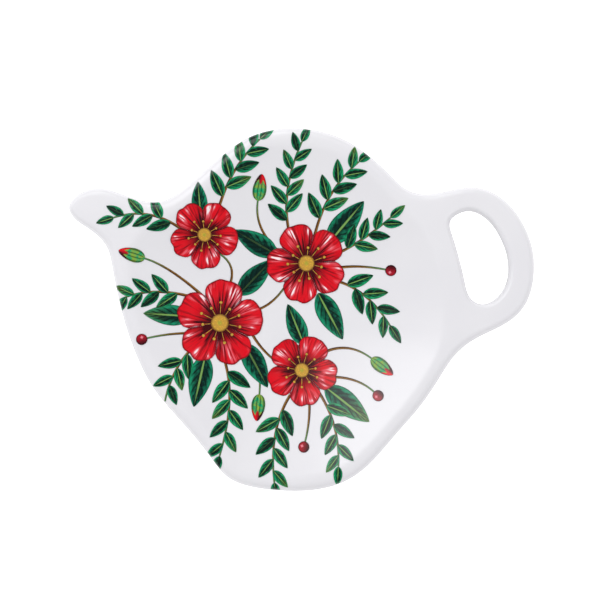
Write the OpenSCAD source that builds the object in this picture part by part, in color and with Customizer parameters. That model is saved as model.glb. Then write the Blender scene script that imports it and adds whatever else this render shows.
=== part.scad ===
// Tea bag rest, moulded in one piece in the outline of a teapot, with a spray of blossoms printed on it.
// Seen from above, the spout points to -X, the loop handle to +X and the domed top to +Y.
// The foot stands on z = 0, and x = 0, y = 0 is the middle of the outline's length and width.

/* [Tray] */
// Length from the tip of the spout to the outside of the handle
tray_length = 125; // [102:1:150]
// Width from the domed top to the base of the outline
tray_width = 97.5; // [84:0.5:117]
// Height of the lip above the table
tray_height = 11; // [9:0.5:14]
// Thickness of the lip, the spout and the handle
lip_thick = 4; // [3.2:0.1:5]
// Thickness of the dish
wall = 2.6; // [2.1:0.1:3.1]
// Height of the foot ring below the floor of the dish
foot_height = 1.2; // [0.8:0.1:1.8]
// Diameter of the foot ring
foot_width = 46; // [38:1:50]
// Width of the ring's face on the table
foot_face = 2.4; // [1.6:0.1:3.5]

/* [Rounded edges] */
// Width of the rounded edge round the outline, seen from above
edge_width = 2.5; // [2:0.1:3.2]
// Width of the rounded edge round the finger hole, seen from above
hole_edge_width = 1.3; // [1:0.1:1.8]
// Height of the rounded edges
edge_height = 1.8; // [1.4:0.1:2.1]
// Radius below the edges
under_radius = 1.1; // [0.8:0.1:1.3]

/* [Print] */
// Length of a leaf of a sprig
leaf_length = 8; // [6.4:0.1:9.6]
// Width of a leaf of a sprig
leaf_width = 3.5; // [2.8:0.1:4.2]
// Length of a broad leaf beside a blossom
broad_leaf_length = 15; // [12:0.5:17]
// Width of a broad leaf beside a blossom
broad_leaf_width = 6.4; // [5:0.1:7.4]
// Width across an open blossom
blossom_width = 24; // [19:0.5:27]
// Width of the yellow centre of a blossom
centre_width = 4.8; // [3.8:0.1:5.8]
// Width of a stem
stem_width = 0.8; // [0.6:0.05:1.1]
// Length of a bud
bud_length = 7.2; // [5.8:0.1:8.6]
// Width of a berry
berry_width = 3; // [2.4:0.1:3.6]
// Thickness of one layer of the print
ink_thick = 0.06; // [0.04:0.01:0.09]

/* [Hidden] */

// Places along the length, from the spout's tip, and across the width, from the base of the outline.
// The third share is of the edge's width. The fourth sets the dish's border in from the lip's crest,
// as a share of the way to the dish's middle.
outline_shares = [
    [0, 0.777, 0.52, 0.04], [0.009, 0.804, 0.55, 0.04], [0.032, 0.825, 0.7, 0.04], [0.075, 0.832, 0.9, 0.04],
    [0.131, 0.809, 1, 0.04], [0.187, 0.796, 1, 0.03], [0.234, 0.820, 1, 0.006], [0.286, 0.876, 1, 0.006],
    [0.338, 0.934, 1, 0.006], [0.398, 0.981, 1, 0.006], [0.475, 0.999, 1, 0.006], [0.553, 0.986, 1, 0.006],
    [0.622, 0.944, 1, 0.006], [0.682, 0.879, 1, 0.006], [0.723, 0.831, 1, 0.02], [0.772, 0.817, 0.9, 0.1],
    [0.830, 0.831, 0.8, 0.2], [0.888, 0.832, 0.7, 0.2], [0.938, 0.796, 0.7, 0.2], [0.974, 0.736, 0.7, 0.2],
    [0.997, 0.647, 0.7, 0.2], [0.989, 0.540, 0.7, 0.2], [0.946, 0.468, 0.7, 0.2], [0.880, 0.424, 0.8, 0.15],
    [0.830, 0.376, 0.9, 0.03], [0.794, 0.309, 1, 0.006], [0.751, 0.229, 1, 0.006], [0.697, 0.149, 1, 0.006],
    [0.639, 0.067, 1, 0.006], [0.570, 0.015, 1, 0.006], [0.484, 0, 1, 0.006], [0.394, 0.011, 1, 0.006],
    [0.335, 0.044, 1, 0.006], [0.292, 0.113, 1, 0.006], [0.234, 0.201, 1, 0.006], [0.178, 0.289, 1, 0.006],
    [0.140, 0.388, 1, 0.006], [0.114, 0.490, 1, 0.006], [0.095, 0.601, 1, 0.006], [0.082, 0.669, 1, 0.03],
    [0.052, 0.713, 0.8, 0.04], [0.017, 0.744, 0.6, 0.04],
];
// The finger hole, from its upper left end round by the handle's outer side
hole_shares = [
    [0.832, 0.760], [0.865, 0.770], [0.903, 0.742], [0.929, 0.691], [0.943, 0.631], [0.935, 0.559],
    [0.897, 0.515], [0.862, 0.530], [0.849, 0.576], [0.838, 0.636], [0.824, 0.697], [0.817, 0.736],
];
// The middle of the dish
dish_shares = [0.465, 0.471];
// Outline points where the handle and the spout begin, and the number of spans to where they end.
// There the dish's border runs straight past, or bulges by a share of its reach. What lies outside is flat.
// Past the handle the border's samples are evenly spaced. At the spout they are turned ahead of the
// outline's by up to an angle in degrees, so that the lines between them stay inside the spout.
handle_start_index = 16;
handle_span_count = 7;
spout_start_index = 38;
spout_span_count = 9;
spout_bulge_share = 0.05;
spout_lead_angle = 3.5;
// The border's reach is the mean over a number of samples on either side, and stays inside the lip's crest.
border_ease_count = 2;
least_set_in_share = 0.003;

// Samples on each span between two outline points, and rounds of settling of a closed curve
span_steps = 3;
settle_count = 14;
// Angles at which the rounded edge and the radius under it are cut into facets
edge_angles = [90, 72, 54, 36, 18, 0];
under_angles = [0, 30, 60, 90];
// Rings of the dish, from its middle to its border, as shares of the way out
ring_shares = [0.1, 0.2, 0.3, 0.4, 0.5, 0.6, 0.7, 0.8, 0.9, 0.95, 0.98, 1];
// The outer share of the way out over which the dish's side eases into the flat lip
ease_share = 0.045;
// Rings of the underside, between the flat of the lip and the foot ring, and inside the foot ring
under_shares = [0, 0.35, 0.7];
recess_shares = [1, 0.5];

// Layers of the print, from the lowest, and how far it stops short of the tray's outermost line
stem_layer_index = 0;
broad_leaf_layer_index = 1;
leaf_layer_index = 2;
bud_layer_index = 3;
blossom_layer_index = 4;
centre_layer_index = 5;
ink_step = ink_thick * 4 / 3;
print_margin = 0.5;
// Blossoms: a place by its shares of length and width, a share of the full size and a turn in degrees
blossom_shares = [
    [0.322, 0.462, 1, 10], [0.510, 0.628, 0.92, 40],
    [0.290, 0.706, 0.78, -15], [0.500, 0.330, 0.82, 62],
];
petal_count = 5;
petal_spread = 34;
petal_round_share = 0.24;
petal_root_share = 0.67;
// Sprigs: the stem's start, bend and end, and a share of the full size of their leaves
sprig_shares = [
    [[0.249, 0.713], [0.180, 0.785], [0.098, 0.752], 0.9],
    [[0.318, 0.763], [0.342, 0.884], [0.410, 0.967], 1],
    [[0.527, 0.702], [0.550, 0.829], [0.622, 0.905], 1],
    [[0.574, 0.653], [0.630, 0.686], [0.690, 0.752], 0.9],
    [[0.568, 0.581], [0.640, 0.560], [0.690, 0.455], 1],
    [[0.535, 0.273], [0.583, 0.182], [0.578, 0.069], 0.95],
    [[0.475, 0.262], [0.428, 0.168], [0.441, 0.025], 1],
    [[0.329, 0.372], [0.361, 0.264], [0.324, 0.098], 1],
    [[0.273, 0.402], [0.222, 0.350], [0.205, 0.236], 0.9],
    [[0.269, 0.532], [0.174, 0.567], [0.110, 0.526], 0.9],
    [[0.475, 0.700], [0.450, 0.820], [0.500, 0.960], 0.9],
];
// The stem stays bare for a share of its way. A leaf leans out by an angle that falls towards the tip,
// where the leaves are also shorter, and neighbours keep a share of their width apart.
bare_share = 0.15;
leaf_lean_angle = 46;
tip_lean_share = 0.8;
tip_size_share = 0.7;
leaf_gap_share = 0.12;
// Broad leaves: the place of the base, the direction in degrees and a share of the full size
broad_leaf_shares = [
    [[0.362, 0.540], 46, 0.88], [[0.292, 0.375], 258, 0.95], [[0.375, 0.405], -62, 0.9],
    [[0.262, 0.480], 176, 0.85], [[0.556, 0.680], 50, 1], [[0.447, 0.650], 150, 0.9],
    [[0.535, 0.545], -62, 0.95], [[0.283, 0.752], 94, 0.64], [[0.550, 0.285], -38, 1],
    [[0.505, 0.400], 112, 0.8],
];
// Twigs: start, bend and end. The first ones carry buds and the others berries.
bud_twig_shares = [
    [[0.455, 0.655], [0.395, 0.720], [0.405, 0.800]], [[0.374, 0.388], [0.415, 0.355], [0.408, 0.264]],
    [[0.553, 0.383], [0.604, 0.409], [0.650, 0.364]], [[0.295, 0.526], [0.217, 0.619], [0.163, 0.640]],
];
berry_twig_shares = [
    [[0.544, 0.310], [0.614, 0.320], [0.655, 0.272]], [[0.572, 0.614], [0.619, 0.625], [0.680, 0.610]],
    [[0.299, 0.430], [0.239, 0.441], [0.169, 0.421]], [[0.515, 0.262], [0.520, 0.200], [0.507, 0.135]],
];
// Stems that join the blossoms
branch_shares = [
    [[0.359, 0.493], [0.437, 0.482], [0.480, 0.603]], [[0.316, 0.510], [0.381, 0.614], [0.316, 0.658]],
    [[0.389, 0.438], [0.415, 0.372], [0.475, 0.328]],
];
stem_end_share = 0.6;

// Outlines of leaves, buds and berries: the swell's power makes the ends pointed or round,
// and the lean of the swell makes the outline fuller near its base. Both ends are a little blunt.
leaf_swell = [1.5, 0.3];
bud_swell = [1.1, 0.25];
berry_swell = [1, 0];
blunt_share = 0.09;
bud_width_share = 0.5;
// Rows and columns of points on the pieces of the print. A stem's rows lie closer towards its end.
leaf_row_count = 6;
broad_leaf_row_count = 10;
berry_row_count = 5;
petal_row_count = 5;
stem_row_count = 12;
leaf_columns = [-1, 0, 1];
petal_columns = [-1, -2 / 3, -1 / 3, 0, 1 / 3, 2 / 3, 1];
stem_columns = [-1, 1];
// Halvings that find where a leaf or stem crosses the edge
halving_count = 8;

// Rules of the closed curves: they pass through their points and are smooth there.
function wrapped(i, n) = (i % n + n) % n;
function settle(now, aim, rounds) =
    let (n = len(aim))
    rounds == 0 ? now
    : settle(
        [for (i = [0 : n - 1])
            now[i] + aim[i] - (now[wrapped(i - 1, n)] + 4 * now[i] + now[wrapped(i + 1, n)]) / 6],
        aim, rounds - 1);
function curve_at(knots, u) =
    let (n = len(knots), i = floor(u), t = u - i, r = 1 - t)
    (r * r * r * knots[wrapped(i - 1, n)]
        + (3 * t * t * t - 6 * t * t + 4) * knots[wrapped(i, n)]
        + (3 * r * r * r - 6 * r * r + 4) * knots[wrapped(i + 1, n)]
        + t * t * t * knots[wrapped(i + 2, n)]) / 6;
function closed_curve(points, samples) =
    let (knots = settle(points, points, settle_count))
    [for (k = [0 : samples - 1]) curve_at(knots, k * len(points) / samples)];
// Unit vectors to the right of a closed curve's direction of travel
function right_normals(points) =
    let (n = len(points))
    [for (i = [0 : n - 1])
        let (d = points[wrapped(i + 1, n)] - points[wrapped(i - 1, n)])
        [d.y, -d.x] / norm(d)];
function lerp(a, b, share) = a + (b - a) * share;
function column(rows, c) = [for (row = rows) row[c]];

// The outline, brought to its length and width
outline_count = len(outline_shares) * span_steps;
outline_rows = closed_curve(outline_shares, outline_count);
low_share = [min(column(outline_rows, 0)), min(column(outline_rows, 1))];
high_share = [max(column(outline_rows, 0)), max(column(outline_rows, 1))];
function place(share) = [
    ((share.x - low_share.x) / (high_share.x - low_share.x) - 1 / 2) * tray_length,
    ((share.y - low_share.y) / (high_share.y - low_share.y) - 1 / 2) * tray_width,
];
outline = [for (row = outline_rows) place(row)];
inward = right_normals(outline);
edge_widths = [for (row = outline_rows) row[2] * edge_width];
dish_middle = place(dish_shares);

// The finger hole has two samples for each sample of the loop, one on either side.
first = handle_start_index * span_steps;
last = first + handle_span_count * span_steps;
hole_count = 2 * (last - first);
hole = [for (share = closed_curve(hole_shares, hole_count)) place(share)];
outward = -right_normals(hole);

// The dish's border lies on the rays from its middle to the crest of the lip.
crest = [for (i = [0 : outline_count - 1]) outline[i] + inward[i] * edge_widths[i]];
function bearing(p) = atan2(p.y - dish_middle.y, p.x - dish_middle.x);
function border_reach(i) = norm(crest[i] - dish_middle) * (1 - outline_rows[i][3]);
roots = [
    [handle_start_index, handle_span_count, 0, 0],
    [spout_start_index, spout_span_count, spout_bulge_share, spout_lead_angle],
];
function border_ray(i, root) =
    let (start = root[0] * span_steps, count = root[1] * span_steps)
    let (past = wrapped(i - start, outline_count), end = wrapped(start + count, outline_count))
    let (from = bearing(crest[start]), to = bearing(crest[end]))
    let (even = lerp(from, to, past / count), lead = root[3])
    let (turn = lead == 0 ? even : bearing(crest[i]) - lead * sin(180 * past / count))
    let (share = (turn - from) / (to - from))
    past > count ? []
    : [[turn, lerp(border_reach(start), border_reach(end), share) * (1 + root[2] * sin(180 * share))]];
border_rays = [for (i = [0 : outline_count - 1])
    [for (root = roots) each border_ray(i, root), [bearing(crest[i]), border_reach(i)]][0]];
function mean(values) = values * [for (v = values) 1] / len(values);
function eased_reach(i) = mean([for (k = [-border_ease_count : border_ease_count])
    border_rays[wrapped(i + k, outline_count)][1]]);
border_reaches = [for (i = [0 : outline_count - 1])
    min(eased_reach(i), norm(crest[i] - dish_middle) * (1 - least_set_in_share))];
function ray_point(i, reach) = dish_middle + reach * [cos(border_rays[i][0]), sin(border_rays[i][0])];

// Heights
dish_depth = tray_height - wall - foot_height;
lip_under = tray_height - lip_thick;
function sink(share) =
    share < 1 - ease_share ? 1 - share * share / (1 - ease_share) : pow(1 - share, 2) / ease_share;
function share_at_sink(depth_share) =
    depth_share > ease_share
        ? sqrt((1 - ease_share) * (1 - depth_share))
        : 1 - sqrt(depth_share * ease_share);
function dish_z(share) = tray_height - dish_depth * sink(min(share, 1));
flat_end_share = share_at_sink((lip_thick - wall) / dish_depth);
foot_outer = foot_width / 2;
foot_inner = foot_outer - foot_face;

// Rings of points, from the middle of the dish out over the lip and back in under it
function at_height(p, z) = [p.x, p.y, z];
function all_samples() = [0 : outline_count - 1];
dish_rings = [for (share = ring_shares)
    [for (i = all_samples()) at_height(ray_point(i, border_reaches[i] * share), dish_z(share))]];
function edge_rings(line, normals, widths) = concat(
    [for (a = edge_angles)
        let (z = tray_height - edge_height * (1 - sin(a)))
        [for (i = [0 : len(line) - 1]) at_height(line[i] + normals[i] * widths[i] * (1 - cos(a)), z)]],
    [for (a = under_angles)
        let (z = lip_under + under_radius * (1 - sin(a)))
        [for (i = [0 : len(line) - 1]) at_height(line[i] + normals[i] * under_radius * (1 - cos(a)), z)]]
);
lip_rings = edge_rings(outline, inward, edge_widths);
hole_rings = edge_rings(hole, outward, [for (p = hole) hole_edge_width]);
flat_end = [for (i = all_samples()) border_reaches[i] * flat_end_share];
under_rings = [for (share = under_shares)
    [for (i = all_samples())
        let (reach = lerp(flat_end[i], foot_outer, share))
        at_height(ray_point(i, reach), dish_z(reach / border_reaches[i]) - wall)]];
foot_rings = [for (face = [[foot_outer, 1], [foot_outer, 0], [foot_inner, 0]])
    [for (i = all_samples())
        at_height(ray_point(i, face[0]), face[1] * (dish_z(face[0] / border_reaches[i]) - wall))]];
recess_rings = [for (share = recess_shares)
    [for (i = all_samples())
        let (reach = foot_inner * share)
        at_height(ray_point(i, reach), dish_z(reach / border_reaches[i]) - wall)]];

// Between the lip and the dish's border the flat has one more line of points. At the handle the hole's
// crest takes its place.
spare = [for (k = [1 : outline_count - last + first - 1]) wrapped(last + k, outline_count)];
function middle_ring(outer, inner, z) = [for (i = spare)
    let (p = (outer[i] + inner[i]) / 2)
    at_height(p, z)];
top_middle = middle_ring(lip_rings[0], dish_rings[len(dish_rings) - 1], tray_height);
under_middle = middle_ring(lip_rings[len(lip_rings) - 1], under_rings[0], lip_under);

// One list of points for the whole tray, and the place of each ring in it
inner_rings = concat(under_rings, foot_rings, recess_rings);
body_points = concat(
    [at_height(dish_middle, dish_z(0)), at_height(dish_middle, dish_z(0) - wall)],
    [for (ring = dish_rings) each ring],
    [for (ring = lip_rings) each ring],
    [for (ring = inner_rings) each ring],
    [for (ring = hole_rings) each ring],
    top_middle,
    under_middle
);
lip_start = 2 + len(dish_rings) * outline_count;
inner_start = lip_start + len(lip_rings) * outline_count;
hole_start = inner_start + len(inner_rings) * outline_count;
top_start = hole_start + len(hole_rings) * hole_count;
under_start = top_start + len(spare);
function ring_ids(start, ring, count) = [for (i = [0 : count - 1]) start + ring * count + i];
function spare_id(start, i) = start + wrapped(i - last - 1, outline_count);
function outer_middle_ids(start, ring) = [for (i = all_samples())
    i < first || i > last ? spare_id(start, i) : hole_start + ring * hole_count + i - first];
function inner_middle_ids(start, ring) = [for (i = all_samples())
    i < first || i > last ? spare_id(start, i)
    : hole_start + ring * hole_count + wrapped(first - i, hole_count)];
// Triangles between two rings, where the second lies further along the skin
function strip(a, b) = [for (i = [0 : len(a) - 1])
    let (j = wrapped(i + 1, len(a)))
    each [[a[i], b[j], a[j]], [a[i], b[i], b[j]]]];
function strips(start, rings, count) = [for (r = [0 : rings - 2])
    each strip(ring_ids(start, r, count), ring_ids(start, r + 1, count))];
hole_last = len(hole_rings) - 1;
body_faces = concat(
    [for (i = all_samples()) [0, 2 + i, 2 + wrapped(i + 1, outline_count)]],
    strips(2, len(dish_rings), outline_count),
    strip(ring_ids(2, len(dish_rings) - 1, outline_count), inner_middle_ids(top_start, 0)),
    strip(outer_middle_ids(top_start, 0), ring_ids(lip_start, 0, outline_count)),
    strips(lip_start, len(lip_rings), outline_count),
    strip(ring_ids(lip_start, len(lip_rings) - 1, outline_count), outer_middle_ids(under_start, hole_last)),
    strip(inner_middle_ids(under_start, hole_last), ring_ids(inner_start, 0, outline_count)),
    strips(inner_start, len(inner_rings), outline_count),
    [for (i = all_samples())
        let (ids = ring_ids(inner_start, len(inner_rings) - 1, outline_count))
        [ids[i], 1, ids[wrapped(i + 1, outline_count)]]],
    [for (r = [0 : hole_last - 1])
        each strip(ring_ids(hole_start, r + 1, hole_count), ring_ids(hole_start, r, hole_count))]
);

// The printed side of the tray: the rays from the dish's middle, by their bearing, with their way to a line
function ray_table(points, skipped) = [for (i = all_samples()) if (!skipped || i <= first || i >= last)
    for (turn = [-360, 0, 360]) [bearing(points[i]) + turn, norm(points[i] - dish_middle)]];
border_table = ray_table([for (i = all_samples()) ray_point(i, border_reaches[i])], false);
crest_table = ray_table(crest, true);
edge_table = ray_table(outline, true);
function round_off(share) = 1 - sqrt(max(0, 1 - share * share));
function top_z(p) =
    let (reach = norm(p - dish_middle), angle = bearing(p))
    let (border = lookup(angle, border_table), top = lookup(angle, crest_table))
    reach < border ? dish_z(reach / border)
    : reach < top ? tray_height
    : tray_height - edge_height * round_off((reach - top) / (lookup(angle, edge_table) - top));
function printable(p) = norm(p - dish_middle) < lookup(bearing(p), edge_table) - print_margin;

// A film of ink over a grid of places, lying on the tray at its layer's height
function film_points(grid, layer) =
    let (flat = [for (row = grid) each row])
    [for (lift = [layer * ink_step + ink_thick, layer * ink_step], p = flat) at_height(p, top_z(p) + lift)];
function film_faces(rows, cols, start) =
    let (under = rows * cols)
    let (cells = [for (r = [0 : rows - 2], c = [0 : cols - 2]) start + r * cols + c])
    let (rim = concat(
        [for (c = [0 : cols - 2]) start + c],
        [for (r = [0 : rows - 2]) start + r * cols + cols - 1],
        [for (c = [cols - 1 : -1 : 1]) start + (rows - 1) * cols + c],
        [for (r = [rows - 1 : -1 : 1]) start + r * cols]))
    concat(
        [for (a = cells) each [[a, a + cols, a + cols + 1], [a, a + cols + 1, a + 1]]],
        [for (a = cells) each [
            [a + under, a + under + cols + 1, a + under + cols],
            [a + under, a + under + 1, a + under + cols + 1]]],
        [for (i = [0 : len(rim) - 1])
            let (a = rim[i], b = rim[wrapped(i + 1, len(rim))])
            each [[a, b, b + under], [a, b + under, a + under]]]);
module films(grids, layer) {
    rows = len(grids[0]);
    cols = len(grids[0][0]);
    polyhedron(
        points = [for (grid = grids) each film_points(grid, layer)],
        faces = [for (k = [0 : len(grids) - 1]) each film_faces(rows, cols, k * 2 * rows * cols)]);
}

// A blade runs from its base along a direction. Where it crosses the tray's edge, its columns end there.
function blade_at(base, way, width, swell, share, side) =
    let (turn = 180 * share, half = width / 2 * pow(sin(turn), swell[0]) * (1 + swell[1] * cos(turn)))
    let (across = [way.y, -way.x] / norm(way))
    base + way * (1 - cos(turn)) / 2 + across * side * max(half, width / 2 * blunt_share);
function blade_reach(base, way, width, swell, side, low, high, rounds) =
    let (mid = (low + high) / 2)
    printable(blade_at(base, way, width, swell, high, side)) ? high
    : rounds == 0 ? low
    : printable(blade_at(base, way, width, swell, mid, side))
        ? blade_reach(base, way, width, swell, side, mid, high, rounds - 1)
        : blade_reach(base, way, width, swell, side, low, mid, rounds - 1);
function blade(base, way, width, swell, rows) =
    let (reaches = [for (side = leaf_columns)
        blade_reach(base, way, width, swell, side, 0, 1, halving_count)])
    [for (r = [0 : rows - 1])
        [for (c = [0 : len(leaf_columns) - 1])
            blade_at(base, way, width, swell, reaches[c] * r / (rows - 1), leaf_columns[c])]];
function worth_printing(grid) =
    norm(grid[len(grid) - 1][1] - grid[0][1]) > leaf_width / 2
    && printable(grid[0][0])
    && printable(grid[0][2]);

// A stem follows a bow through its start, bend and end.
function bow_at(bow, share) =
    lerp(lerp(bow[0], bow[1], share), lerp(bow[1], bow[2], share), share);
function bow_way(bow, share) =
    let (d = lerp(bow[1] - bow[0], bow[2] - bow[1], share))
    d / norm(d);
function bow_of(shares) = [for (i = [0 : 2]) place(shares[i])];
function bow_length(bow) = norm(bow_at(bow, 1 / 2) - bow[0]) + norm(bow[2] - bow_at(bow, 1 / 2));
function bow_reach(bow, low, high, rounds) =
    let (mid = (low + high) / 2)
    printable(bow_at(bow, high)) ? high
    : rounds == 0 ? low
    : printable(bow_at(bow, mid))
        ? bow_reach(bow, mid, high, rounds - 1)
        : bow_reach(bow, low, mid, rounds - 1);
function stem_grid(bow) =
    let (reach = bow_reach(bow, 0, 1, halving_count))
    [for (r = [0 : stem_row_count - 1])
        let (share = reach * sin(90 * r / (stem_row_count - 1)), way = bow_way(bow, share))
        [for (side = stem_columns)
            bow_at(bow, share) + [way.y, -way.x] * side * stem_width / 2 * lerp(1, stem_end_share, share)]];

function turned(v, angle) = [v.x * cos(angle) - v.y * sin(angle), v.x * sin(angle) + v.y * cos(angle)];
function sprig_leaves(row) =
    let (bow = bow_of(row), size = row[3])
    let (pitch = leaf_width * size * (1 + leaf_gap_share) / (2 * sin(leaf_lean_angle)))
    let (count = floor(bow_length(bow) * (1 - bare_share) / pitch))
    [for (k = [0 : count])
        let (share = k == count ? 1 : lerp(bare_share, 1, (k + 1 / 2) / (count + 1 / 2)))
        let (side = k == count ? 0 : k % 2 == 0 ? 1 : -1, scale = size * lerp(1, tip_size_share, share))
        let (way = turned(bow_way(bow, share), side * leaf_lean_angle * lerp(1, tip_lean_share, share)))
        let (leaf_way = way * leaf_length * scale)
        blade(bow_at(bow, share), leaf_way, leaf_width * scale, leaf_swell, leaf_row_count)];

function petal(row, k) =
    let (middle = place(row), reach = blossom_width / 2 * row[2], axis = row[3] + 360 * k / petal_count)
    let (inner = centre_width / 2 * petal_root_share * row[2])
    [for (r = [0 : petal_row_count - 1])
        [for (side = petal_columns)
            let (rim = reach * (1 - petal_round_share * side * side))
            let (far = lerp(inner, rim, r / (petal_row_count - 1)))
            middle + far * [cos(axis - side * petal_spread), sin(axis - side * petal_spread)]]];

module stem_print() {
    color("#7a5528")
        films([for (row = concat(branch_shares, sprig_shares, bud_twig_shares, berry_twig_shares))
            stem_grid(bow_of(row))], stem_layer_index);
}

module broad_leaf_print() {
    color("#0a4a38")
        films([for (row = broad_leaf_shares)
            let (way = [cos(row[1]), sin(row[1])] * broad_leaf_length * row[2])
            blade(place(row[0]), way, broad_leaf_width * row[2], leaf_swell, broad_leaf_row_count)],
            broad_leaf_layer_index);
}

module leaf_print() {
    leaves = [for (row = sprig_shares) each sprig_leaves(row)];
    color("#12704a")
        films([for (leaf = leaves) if (worth_printing(leaf)) leaf], leaf_layer_index);
}

module bud_print() {
    color("#8fae3c")
        films([for (row = bud_twig_shares)
            let (bow = bow_of(row))
            let (way = bow_way(bow, 1) * bud_length)
            blade(bow[2], way, bud_length * bud_width_share, bud_swell, leaf_row_count)],
            bud_layer_index);
}

module berry_print() {
    color("#a31625")
        films([for (row = berry_twig_shares)
            let (bow = bow_of(row))
            blade(bow[2], bow_way(bow, 1) * berry_width, berry_width, berry_swell, berry_row_count)],
            bud_layer_index);
}

module blossom_print() {
    color("#cc0a22")
        films([for (row = blossom_shares, k = [0 : petal_count - 1]) petal(row, k)], blossom_layer_index);
}

module centre_print() {
    color("#e3b23a")
        films([for (row = blossom_shares)
            blade(place(row) - [centre_width / 2 * row[2], 0], [centre_width * row[2], 0],
                centre_width * row[2], berry_swell, berry_row_count)], centre_layer_index);
}

module tray_body() {
    color("#e8e7ec")
        polyhedron(points = body_points, faces = body_faces);
}

tray_body();
stem_print();
broad_leaf_print();
leaf_print();
bud_print();
berry_print();
blossom_print();
centre_print();
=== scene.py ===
import math

import bpy
import numpy as np
from bpy.props import FloatProperty, FloatVectorProperty, PointerProperty
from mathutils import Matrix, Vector


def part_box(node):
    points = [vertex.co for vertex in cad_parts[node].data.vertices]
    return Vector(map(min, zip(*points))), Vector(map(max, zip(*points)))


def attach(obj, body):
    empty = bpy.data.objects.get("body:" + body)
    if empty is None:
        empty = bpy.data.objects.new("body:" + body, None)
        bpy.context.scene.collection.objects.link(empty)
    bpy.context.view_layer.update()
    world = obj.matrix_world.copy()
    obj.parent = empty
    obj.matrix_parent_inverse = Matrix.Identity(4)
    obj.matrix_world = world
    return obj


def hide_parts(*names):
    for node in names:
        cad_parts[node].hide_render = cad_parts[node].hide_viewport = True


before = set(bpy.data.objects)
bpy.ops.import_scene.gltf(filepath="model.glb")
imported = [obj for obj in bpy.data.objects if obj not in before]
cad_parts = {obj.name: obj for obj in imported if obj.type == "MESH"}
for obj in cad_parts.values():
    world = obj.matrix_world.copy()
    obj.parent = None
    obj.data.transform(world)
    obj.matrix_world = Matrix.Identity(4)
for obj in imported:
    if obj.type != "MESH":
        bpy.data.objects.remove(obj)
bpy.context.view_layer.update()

bl_info = {
    "name": "Tea Bag Rest",
    "version": (1, 0, 0),
    "blender": (4, 5, 0),
    "location": "View3D > Sidebar > Tea Bag Rest",
    "description": "Makes a moulded tea bag rest shaped like a teapot, with a printed spray of blossoms",
    "category": "Add Mesh",
}

MM = 0.001
TRAY_LOW, TRAY_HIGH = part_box("tray_body")
TRAY_SIZE = TRAY_HIGH - TRAY_LOW

# The outline, clockwise from the spout's tip. Each row holds the place along the length, the place across
# the width from the base, a share of the edge's width, and how far the dish's border is set in from the
# lip's crest, as a share of the way to the dish's middle.
OUTLINE_SHARES = [
    (0, 0.777, 0.52, 0.04), (0.009, 0.804, 0.55, 0.04), (0.032, 0.825, 0.7, 0.04), (0.075, 0.832, 0.9, 0.04),
    (0.131, 0.809, 1, 0.04), (0.187, 0.796, 1, 0.03), (0.234, 0.820, 1, 0.006), (0.286, 0.876, 1, 0.006),
    (0.338, 0.934, 1, 0.006), (0.398, 0.981, 1, 0.006), (0.475, 0.999, 1, 0.006), (0.553, 0.986, 1, 0.006),
    (0.622, 0.944, 1, 0.006), (0.682, 0.879, 1, 0.006), (0.723, 0.831, 1, 0.02), (0.772, 0.817, 0.9, 0.1),
    (0.830, 0.831, 0.8, 0.2), (0.888, 0.832, 0.7, 0.2), (0.938, 0.796, 0.7, 0.2), (0.974, 0.736, 0.7, 0.2),
    (0.997, 0.647, 0.7, 0.2), (0.989, 0.540, 0.7, 0.2), (0.946, 0.468, 0.7, 0.2), (0.880, 0.424, 0.8, 0.15),
    (0.830, 0.376, 0.9, 0.03), (0.794, 0.309, 1, 0.006), (0.751, 0.229, 1, 0.006), (0.697, 0.149, 1, 0.006),
    (0.639, 0.067, 1, 0.006), (0.570, 0.015, 1, 0.006), (0.484, 0, 1, 0.006), (0.394, 0.011, 1, 0.006),
    (0.335, 0.044, 1, 0.006), (0.292, 0.113, 1, 0.006), (0.234, 0.201, 1, 0.006), (0.178, 0.289, 1, 0.006),
    (0.140, 0.388, 1, 0.006), (0.114, 0.490, 1, 0.006), (0.095, 0.601, 1, 0.006), (0.082, 0.669, 1, 0.03),
    (0.052, 0.713, 0.8, 0.04), (0.017, 0.744, 0.6, 0.04),
]
# The finger hole, from its upper left end round by the handle's outer side
HOLE_SHARES = [
    (0.832, 0.760), (0.865, 0.770), (0.903, 0.742), (0.929, 0.691), (0.943, 0.631), (0.935, 0.559),
    (0.897, 0.515), (0.862, 0.530), (0.849, 0.576), (0.838, 0.636), (0.824, 0.697), (0.817, 0.736),
]
# The dish's middle
DISH_MIDDLE_SHARES = (0.465, 0.471)
# Where the dish's border leaves the lip: the outline point, the spans to where it comes back, and how far
# it bulges out, as a share, and runs ahead, in degrees, between the two
HANDLE_ROOT = (16, 7, 0, 0)
SPOUT_ROOT = (38, 9, 0.05, 3.5)
# Samples between two outline points, and rounds that draw the curve onto the points
SPAN_STEPS = 9
SETTLE_ROUNDS = 14
# Outer share of the dish where its slope eases out to the flat
EASE_SHARE = 0.045
# Samples on either side that smooth the border, and the least that it is set in
BORDER_EASE_COUNT = 6
LEAST_SET_IN_SHARE = 0.003
# Rings of the dish and of the recess under it, by their share of the way out
RING_SHARES = [k / 20 for k in range(1, 19)] + [0.925, 0.94, 0.95, 0.958, 0.966, 0.974, 0.982, 0.99, 1]
RECESS_SHARES = [1, 0.75, 0.5, 0.25]
# Rings round the edges by their angle in degrees, how far the foot's corners are rounded, and the steps of
# the underside from the lip to the foot
EDGE_ANGLES = [90, 84, 78, 70, 62, 54, 45, 36, 27, 18, 9, 0]
UNDER_ANGLES = [0, 15, 30, 45, 60, 75, 90]
FOOT_ANGLES = [0, 30, 60, 90]
FOOT_ROUND = 0.4 * MM
UNDER_STEPS = 9
# Angles in degrees above which an edge is shaded sharp
TRAY_SHARP_ANGLE = 50
FILM_SHARP_ANGLE = 35

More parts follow.
